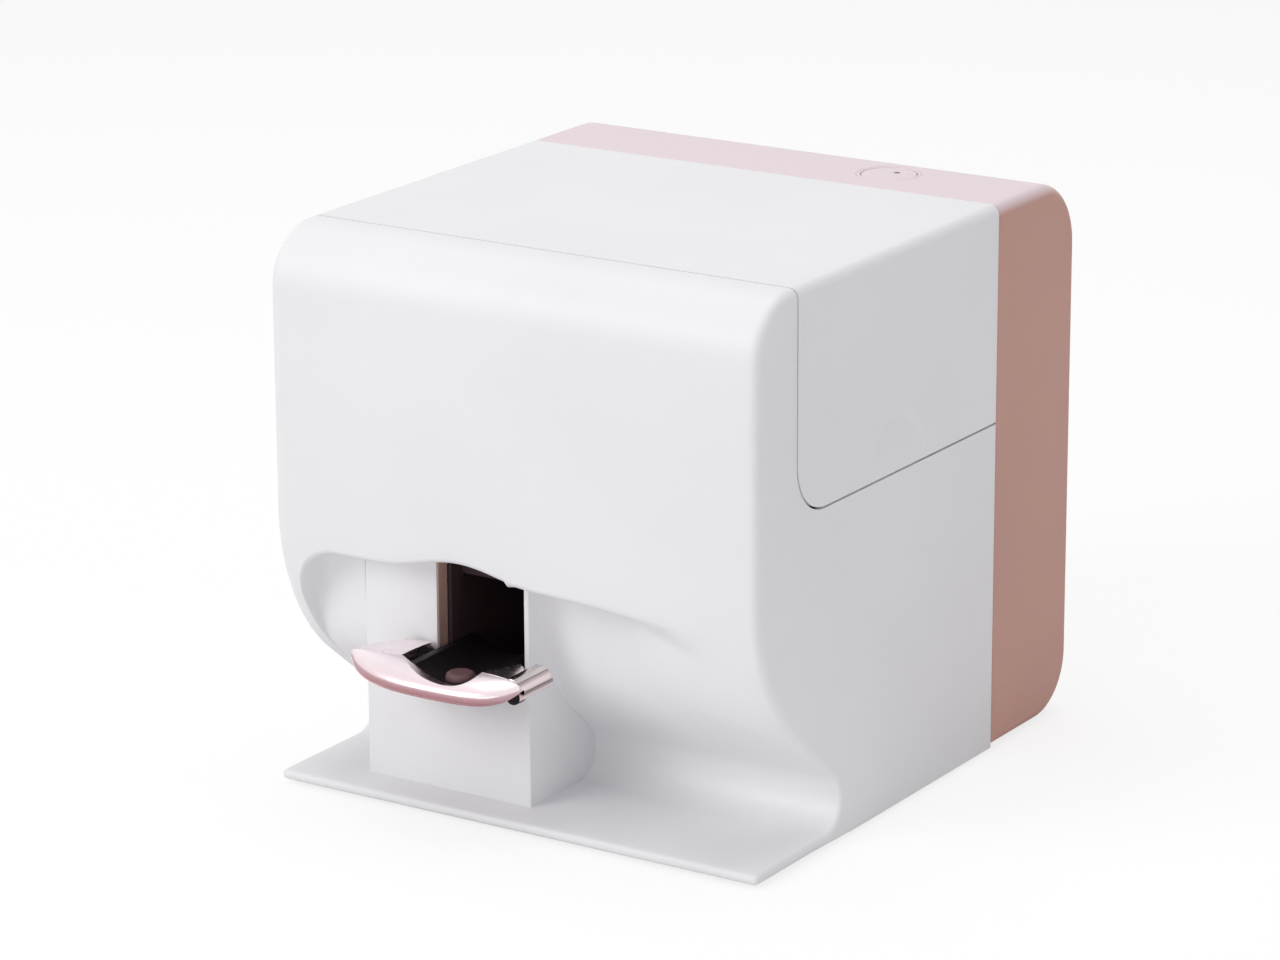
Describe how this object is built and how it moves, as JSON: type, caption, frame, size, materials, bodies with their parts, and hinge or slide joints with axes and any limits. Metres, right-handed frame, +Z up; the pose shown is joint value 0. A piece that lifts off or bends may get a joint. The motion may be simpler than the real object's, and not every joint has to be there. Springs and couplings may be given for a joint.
{
  "type": "digital nail art printer",
  "caption": "Box-shaped desktop nail printer with an overhanging front, a sprung finger lever under a finger port, a lift-off cover and an inkjet carriage on a gantry inside.",
  "frame": {"origin": "centre of the footprint, on the surface that the feet stand on", "axes": "+Z up, +Y from the front with the finger port to the pink rear, +X to the right of a person who faces the front"},
  "size_m": [0.164, 0.198, 0.168],
  "materials": {
    "white_shell": "satin, moulded",
    "pink_shell": "satin, moulded, dusty pink",
    "rose_metal": "polished, rose tinted plating",
    "dark_plastic": "matt, moulded",
    "pink_pad": "soft, satin",
    "inner_white": "matt, moulded",
    "grey_plastic": "matt, moulded",
    "steel_sheet": "zinc plated sheet",
    "steel_rod": "ground",
    "cast_alloy": "die cast",
    "brass": "turned",
    "screw_steel": "zinc plated",
    "black_rubber": "matt",
    "circuit_green": "solder resist",
    "chip_black": "moulded",
    "lens_glass": "coated",
    "lamp_white": "diffusing",
    "motor_black": "black",
    "felt": "pressed felt",
    "latch_blue": "moulded",
    "gold_contacts": "plated"
  },
  "bodies": {
    "casing": {"front_housing": "white_shell", "port_block": "white_shell", "rear_cover": "pink_shell", "base_pan": "inner_white", "rubber_feet": "black_rubber", "base_screws": "screw_steel", "rear_screws": "screw_steel", "chassis_plate": "steel_sheet", "left_side_plate": "steel_sheet", "right_side_plate": "steel_sheet", "y_guide_rods": "steel_rod", "camera_bridge": "steel_sheet", "camera_module": "dark_plastic", "camera_lens": "lens_glass", "light_board": "circuit_green", "light_emitters": "lamp_white", "motor_mount": "steel_sheet", "y_motor": "motor_black", "screw_bearing": "cast_alloy", "main_board": "circuit_green", "board_chips": "chip_black", "driver_heatsink": "cast_alloy", "radio_module": "cast_alloy", "board_standoffs": "brass", "dc_inlet": "dark_plastic", "switch_board": "circuit_green", "tact_switch": "dark_plastic", "button_ring": "pink_shell", "finger_tunnel": "dark_plastic", "lever_guide_posts": "steel_rod", "lever_springs": "steel_rod", "waste_ink_pad": "felt", "capping_station": "grey_plastic", "wiper_blade": "black_rubber", "cover_switch": "dark_plastic", "cover_keepers": "steel_rod"},
    "cover": {"top_cover": "white_shell", "cover_magnets": "steel_rod"},
    "power_button": {"power_button": "pink_shell", "status_lamp": "chip_black"},
    "finger_lever": {"lever_handle": "rose_metal", "finger_cradle": "dark_plastic", "finger_pad": "pink_pad", "lever_carrier": "grey_plastic"},
    "gantry": {"gantry_frame": "cast_alloy", "x_guide_rods": "steel_rod", "gantry_bushings": "brass", "x_motor": "motor_black", "x_belt": "black_rubber", "idler_axle": "steel_rod", "screw_nut": "brass"},
    "lead_screw": {"lead_screw": "steel_rod"},
    "drive_pulley": {"drive_pulley": "cast_alloy"},
    "idler_pulley": {"idler_pulley": "cast_alloy"},
    "carriage": {"carriage_body": "dark_plastic", "carriage_bushings": "brass", "contact_board": "gold_contacts", "ink_cartridge": "dark_plastic"},
    "cartridge_latch": {"cartridge_latch": "latch_blue"},
    "cap_sled": {"cap_sled": "dark_plastic"}
  },
  "joints": [
    {"name": "cover_lift", "type": "slide", "parent": "casing", "child": "cover", "axis": [0, 0, 1], "range_m": [0, 0.075]},
    {"name": "button_press", "type": "slide", "parent": "casing", "child": "power_button", "axis": [0, 0, -1], "range_m": [0, 0.0015], "stiffness_N_per_m": 800, "springref_m": -0.0008},
    {"name": "lever_press", "type": "slide", "parent": "casing", "child": "finger_lever", "axis": [0, 0, -1], "range_m": [0, 0.0055], "stiffness_N_per_m": 700, "springref_m": -0.002, "deforming": ["lever_springs"]},
    {"name": "gantry_feed", "type": "slide", "parent": "casing", "child": "gantry", "axis": [0, -1, 0], "range_m": [0, 0.026]},
    {"name": "screw_spin", "type": "hinge", "parent": "casing", "child": "lead_screw", "pos_m": [-0.052, 0.017, 0.064], "axis": [0, 1, 0], "range_deg": [0, 2341]},
    {"name": "carriage_scan", "type": "slide", "parent": "gantry", "child": "carriage", "axis": [-1, 0, 0], "range_m": [0, 0.072]},
    {"name": "drive_pulley_spin", "type": "hinge", "parent": "gantry", "child": "drive_pulley", "pos_m": [-0.049, 0.02, 0.101], "axis": [0, 1, 0], "range_deg": [0, 626]},
    {"name": "idler_pulley_spin", "type": "hinge", "parent": "gantry", "child": "idler_pulley", "pos_m": [0.052, 0.02, 0.101], "axis": [0, 1, 0], "range_deg": [0, 626]},
    {"name": "latch_hinge", "type": "hinge", "parent": "carriage", "child": "cartridge_latch", "pos_m": [0.04, 0.0105, 0.1366], "axis": [-1, 0, 0], "range_deg": [0, 75]},
    {"name": "cap_press", "type": "slide", "parent": "casing", "child": "cap_sled", "axis": [0, 0, -1], "range_m": [0, 0.003], "stiffness_N_per_m": 120, "springref_m": -0.002}
  ],
  "couplings": [
    {"joint": "screw_spin", "follows": "gantry_feed", "rad_per_m": 1570.8},
    {"joint": "drive_pulley_spin", "follows": "carriage_scan", "rad_per_m": 151.52},
    {"joint": "idler_pulley_spin", "follows": "carriage_scan", "rad_per_m": 151.52}
  ]
}
